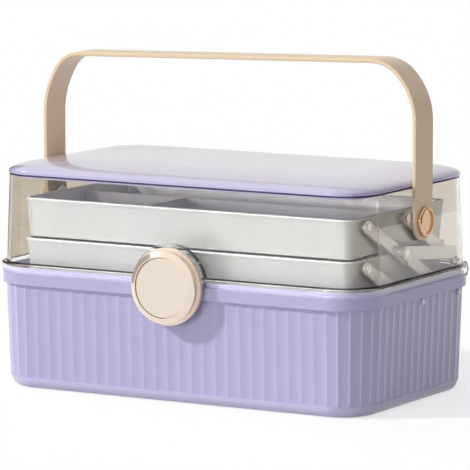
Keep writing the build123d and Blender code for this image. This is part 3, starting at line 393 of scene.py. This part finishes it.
def glossy(name, colour, roughness, coat, metallic=0.0, foot=None):
    """Smooth glossy moulding with barely uneven gloss and a clear coat, and painted shade deepening its colour
    towards its foot when a foot is given.
    """
    material, tree = new_material(name)
    cloud = tree.spread(tree.noise(9, detail=3), 0, 1)
    base = tree.tint(cloud, scaled(colour, 0.985), scaled(colour, 1.01))
    # Painted shade, fullest at the foot and fading upwards
    if foot:
        low, high, foot_shade_colour = foot
        base = tree.tint(tree.spread(tree.split(tree.place())[2], 1, 0, low, high), base, foot_shade_colour)
    gloss = tree.spread(tree.noise(40, detail=4), low=roughness * 0.85, high=roughness * 1.2)
    normal = tree.bump(tree.noise(1800, detail=2), strength=0.02, distance=0.00003)
    surface(tree, base, gloss, normal, metallic, coat, coat_roughness=0.04)
    return material


def metal(name, colour, roughness, brushed=(1.0, 1.0, 1.0)):
    """Polished or brushed metal with fine uneven gloss."""
    material, tree = new_material(name)
    lines = tree.noise(900, detail=2, stretch=brushed)
    gloss = tree.spread(lines, low=roughness * 0.8, high=roughness * 1.3)
    base = tree.tint(tree.noise(30), scaled(colour, 0.95), colour)
    normal = tree.bump(lines, strength=0.05, distance=0.00004)
    surface(tree, base, gloss, normal, metallic=1.0)
    return material


def dress(material, *names):
    """Put one material on every slot of these CAD nodes."""
    for name in names:
        piece = NODES[name]
        if not piece.material_slots:
            piece.data.materials.append(material)
        for slot in piece.material_slots:
            slot.material = material


def make_materials():
    """Dress the listed CAD nodes; the top panel is left for make_panel."""
    lid_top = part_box("lid_shell")[1][2]
    # Painted shade lines on the lid: dark at the wall foot, purple for the panel's shadow at the top
    shade_lines = (
        (WALL_FOOT_Z - FOOT_LINE_REACH[0], WALL_FOOT_Z + FOOT_LINE_REACH[1], FOOT_SHADE_LINE),
        (lid_top - TOP_LINE_REACH[0], lid_top + TOP_LINE_REACH[1], PANEL_SHADOW_LINE),
    )
    dress(fluted_plastic("lavender_plastic", LAVENDER), "base_body")
    dress(clear_plastic("clear_plastic", shade_lines), "lid_shell")
    trays = {
        "upper_tray_plastic": ("upper_tray",),
        "lower_tray_plastic": ("lower_tray",),
        "divider_plastic": ("upper_tray_long_divider", "upper_tray_cross_divider"),
    }
    for name, pieces in trays.items():
        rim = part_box(pieces[0])[1][2]
        dress(tray_plastic(name, rim), *pieces)
    arm = moulded("arm_plastic", ARM_GREY, 0.32, mottle=0.02, coat=0.3, metallic=0.4)
    pin = glossy("pin_plastic", PIN_GREY, 0.12, coat=0.8, metallic=0.7)
    for side in ("left", "right"):
        dress(arm, f"long_arm_{side}", f"lower_arm_{side}", f"upper_arm_{side}", f"lid_link_{side}")
        dress(pin, f"link_pivot_pin_{side}")
    dress(pin, "lower_tray_pins", "upper_tray_pins", "lid_link_pins", "handle_rivet_nuts")
    dress(glossy("base_pin_plastic", PIN_LAVENDER, 0.3, coat=0.3), "base_pivot_pins")
    dress(moulded("strap", CREAM, 0.42, mottle=0.02, grain=0.08, coat=0.15), "handle_strap")
    dress(metal("gold_metal", ROSE_GOLD, 0.14), "handle_rivets")
    dress(glossy("latch_ring", KNOB_RING, 0.12, coat=1.0, metallic=0.6), "latch_housing")
    dress(glossy("latch_face", KNOB_FACE, 0.3, coat=0.15), "latch_button")
    dress(moulded("latch_inner", LEVER_GREY, 0.45), "latch_lever")
    steel = metal("steel", STEEL, 0.3, brushed=(0.1, 1.0, 1.0))
    dress(steel, "hinge_pins", "latch_lever_pin", "latch_spring", "latch_screws")


# ---------------------------------------------------------------- domed panel

PANEL_EDGE = 0.0016
PANEL_CROWN = 0.0085
PANEL_ROLL = 0.046
PANEL_WALL = 0.0024
PANEL_CORNER_SHARE = 0.35
PANEL_RIM_INSET = 0.0108
PANEL_RIM_WALL = 0.0018
PANEL_RIM_DEPTH = 0.004
# Heights over the seat where the painted shade at the panel's foot is full and where it ends
PANEL_SHADE_START = PANEL_EDGE * 0.5
PANEL_SHADE_END = PANEL_EDGE * 4
SHARP_ANGLE = radians(50)
ROLL_STEPS = 20
INNER_STEPS = 6
ARC_STEPS = 14
FLANGE_HALF_X = 0.166
FLANGE_RADIUS = 0.034


def rounded_ring(bm, half_x, half_y, radius, z):
    """Vertices round a rounded rectangle at height z, anticlockwise."""
    ring = []
    for quadrant, (sign_x, sign_y) in enumerate(((1, 1), (-1, 1), (-1, -1), (1, -1))):
        centre_x = sign_x * (half_x - radius)
        centre_y = sign_y * (half_y - radius)
        for step in range(ARC_STEPS + 1):
            angle = (quadrant + step / ARC_STEPS) * pi / 2
            ring.append(bm.verts.new((centre_x + radius * cos(angle), centre_y + radius * sin(angle), z)))
    return ring


def panel_profile(seat):
    """Inset, corner radius loss and height of each ring, from the top's middle over the edge to the inside."""
    rings = []
    for step in range(ROLL_STEPS, -1, -1):
        angle = pi / 2 * step / ROLL_STEPS
        roll = PANEL_ROLL * (1 - cos(angle))
        rings.append((roll, roll * PANEL_CORNER_SHARE, seat + PANEL_EDGE + PANEL_CROWN * sin(angle)))
    inner_rim = PANEL_RIM_INSET + PANEL_RIM_WALL
    rings.append((0, 0, seat))
    rings.append((PANEL_RIM_INSET, PANEL_RIM_INSET, seat))
    rings.append((PANEL_RIM_INSET, PANEL_RIM_INSET, seat - PANEL_RIM_DEPTH))
    rings.append((inner_rim, inner_rim, seat - PANEL_RIM_DEPTH))
    inner_crown = PANEL_CROWN - PANEL_WALL
    first = acos(1 - (inner_rim - PANEL_WALL) / PANEL_ROLL)
    for step in range(INNER_STEPS + 1):
        angle = first + (pi / 2 - first) * step / INNER_STEPS
        inset = PANEL_WALL + PANEL_ROLL * (1 - cos(angle))
        loss = inner_rim + (inset - inner_rim) * PANEL_CORNER_SHARE
        rings.append((inset, loss, seat + PANEL_EDGE + inner_crown * sin(angle)))
    return rings


def make_panel():
    """Smooth pillow-shaped panel on the clear walls, hollow below, in place of the CAD panel."""
    low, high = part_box("lid_top_panel")
    seat = low[2] + PANEL_RIM_DEPTH
    edge_radius = FLANGE_RADIUS - (FLANGE_HALF_X - high[0])
    bm = bmesh.new()
    previous = None
    for inset, loss, z in panel_profile(seat):
        ring = rounded_ring(bm, high[0] - inset, high[1] - inset, edge_radius - loss, z)
        if previous:
            for index, vertex in enumerate(previous):
                following = (index + 1) % len(previous)
                bm.faces.new((vertex, ring[index], ring[following], previous[following]))
        else:
            bm.faces.new(ring)
        previous = ring
    bm.faces.new(list(reversed(previous)))
    mesh = bpy.data.meshes.new("panel_pillow")
    bm.to_mesh(mesh)
    bm.free()
    mesh.shade_smooth()
    mesh.set_sharp_from_angle(angle=SHARP_ANGLE)
    panel = add_object("panel_pillow", mesh)
    # Painted shade along the panel's foot and edge
    foot = (seat + PANEL_SHADE_START, seat + PANEL_SHADE_END, PANEL_FOOT_SHADE)
    mesh.materials.append(glossy("panel_plastic", PANEL_LAVENDER, 0.16, coat=1.0, foot=foot))
    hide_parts("lid_top_panel")
    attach(panel, "lid")


# ---------------------------------------------------------------- latch spring


def make_spring():
    """Copy of the CAD spring on the lid, with a mesh of its own, in place of the CAD spring."""
    spring = add_object("spring_coil", NODES["latch_spring"].data.copy())
    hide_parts("latch_spring")
    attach(spring, "lid")
    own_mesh(spring)


# ---------------------------------------------------------------- studio

KEY_FROM = Vector((-24.0, -17.5, 18.6)).normalized()
KEY_ANGLE = radians(5.0)
KEY_STRENGTH = 1.75
FILL_AZIMUTH = radians(-20)
FILL_ELEVATION = radians(6.5)
FILL_ANGLE = radians(8.0)
FILL_STRENGTH = 0.42

# The room. The pairs are the parts of a direction at which a change begins and is full
WORLD_LIGHT = 0.5
WORLD_DIM_RIGHT = 0.3
DIM_X = (0.1, 0.9)
REAR_WALL = (0.82, 0.81, 0.80)
REAR_WALL_Y = (0.3, 0.6)
ROOM_CARD_X = (0.74, 0.88)
ROOM_CARD_Z = (0.28, 0.45)

DARK_CARD = (0.15, 0.10, 0.07)
CARD_AWAY = 0.9
CARD_NEAR = -0.7
CARD_FAR_LEFT = 0.85
CARD_FAR_RIGHT = 1.6
CARD_HIGH = 0.7

FLOOR_SIZE = 6.0
FLOOR_LIT = 0.62
FLOOR_PAPER = 0.45
FLOOR_GLOW = 0.65


def sun(name, towards, angle, strength):
    """Far lamp of a given apparent width, so that the whole floor is lit evenly."""
    data = bpy.data.lights.new(name, "SUN")
    data.angle = angle
    data.energy = strength
    aim(add_object(name, data), -towards)


def seen_directly(tree):
    """1 for camera, glossy and transmission rays, 0 for the diffuse rays that only carry light."""
    path = tree.node("LightPath").outputs
    seen = tree.math("MAXIMUM", path["Is Camera Ray"], path["Is Glossy Ray"])
    return tree.math("MAXIMUM", seen, path["Is Transmission Ray"])


def make_world():
    """White room, dimmer on the right, with a dark card low on either side that only gloss and glass pick up."""
    world = bpy.data.worlds.new("studio")
    bpy.context.scene.world = world
    tree = Tree(world)
    path = tree.node("LightPath").outputs
    x, y, z = tree.split(tree.node("TexCoord").outputs["Generated"])
    sideways = tree.spread(tree.math("ABSOLUTE", x), 0, 1, *ROOM_CARD_X)
    low = tree.spread(z, 1, 0, *ROOM_CARD_Z)
    picked_up = tree.math("MAXIMUM", path["Is Glossy Ray"], path["Is Transmission Ray"])
    card = tree.math("MULTIPLY", tree.math("MULTIPLY", sideways, low), picked_up)
    behind = tree.math("MULTIPLY", tree.spread(y, 0, 1, *REAR_WALL_Y), path["Is Glossy Ray"])
    colour = tree.tint(card, tree.tint(behind, WHITE, REAR_WALL), DARK_CARD)
    lamp = tree.spread(x, WORLD_LIGHT, WORLD_LIGHT * (1 - WORLD_DIM_RIGHT), *DIM_X)
    strength = tree.choose(seen_directly(tree), lamp, 1.0)
    backdrop = tree.node("Background", {"Color": colour, "Strength": strength})
    tree.node("OutputWorld", {"Surface": backdrop.outputs[0]})


def make_floor():
    """White paper floor that keeps the shadow and throws little light back at the case."""
    bm = bmesh.new()
    bmesh.ops.create_grid(bm, x_segments=1, y_segments=1, size=FLOOR_SIZE)
    mesh = bpy.data.meshes.new("floor")
    bm.to_mesh(mesh)
    bm.free()
    material, tree = new_material("floor")
    paper = tree.tint(tree.noise(3), scaled(WHITE, FLOOR_PAPER * 0.99), scaled(WHITE, FLOOR_PAPER))
    seen = seen_directly(tree)
    colour = tree.tint(seen, scaled(WHITE, FLOOR_LIT), paper)
    shader = tree.node("BsdfDiffuse", {"Color": colour})
    glow = tree.node("Emission", {"Color": WHITE, "Strength": tree.math("MULTIPLY", seen, FLOOR_GLOW)})
    both = tree.node("AddShader", {0: shader.outputs[0], 1: glow.outputs[0]})
    tree.node("OutputMaterial", {"Surface": both.outputs[0]})
    mesh.materials.append(material)
    add_object("floor", mesh)


def make_cards():
    """Two dark cards beside the case that only glossy surfaces pick up."""
    material, tree = new_material("card")
    felt = tree.tint(tree.noise(40), DARK_CARD, scaled(DARK_CARD, 1.3))
    shader = tree.node("BsdfDiffuse", {"Color": felt})
    tree.node("OutputMaterial", {"Surface": shader.outputs[0]})
    for x, far in ((-CARD_AWAY, CARD_FAR_LEFT), (CARD_AWAY, CARD_FAR_RIGHT)):
        foot = [(x, CARD_NEAR, 0.0), (x, far, 0.0)]
        head = [(x, far, CARD_HIGH), (x, CARD_NEAR, CARD_HIGH)]
        mesh = bpy.data.meshes.new("card")
        mesh.from_pydata(foot + head, [], [(0, 1, 2, 3)])
        mesh.materials.append(material)
        card = add_object("card", mesh)
        card.visible_camera = False
        card.visible_diffuse = False
        card.visible_transmission = False
        card.visible_shadow = False


make_camera()
make_materials()
make_panel()
make_spring()
sun("key", KEY_FROM, KEY_ANGLE, KEY_STRENGTH)
sun("fill", direction(FILL_AZIMUTH, FILL_ELEVATION), FILL_ANGLE, FILL_STRENGTH)
make_world()
make_floor()
make_cards()
bpy.context.scene.view_settings.view_transform = "Standard"
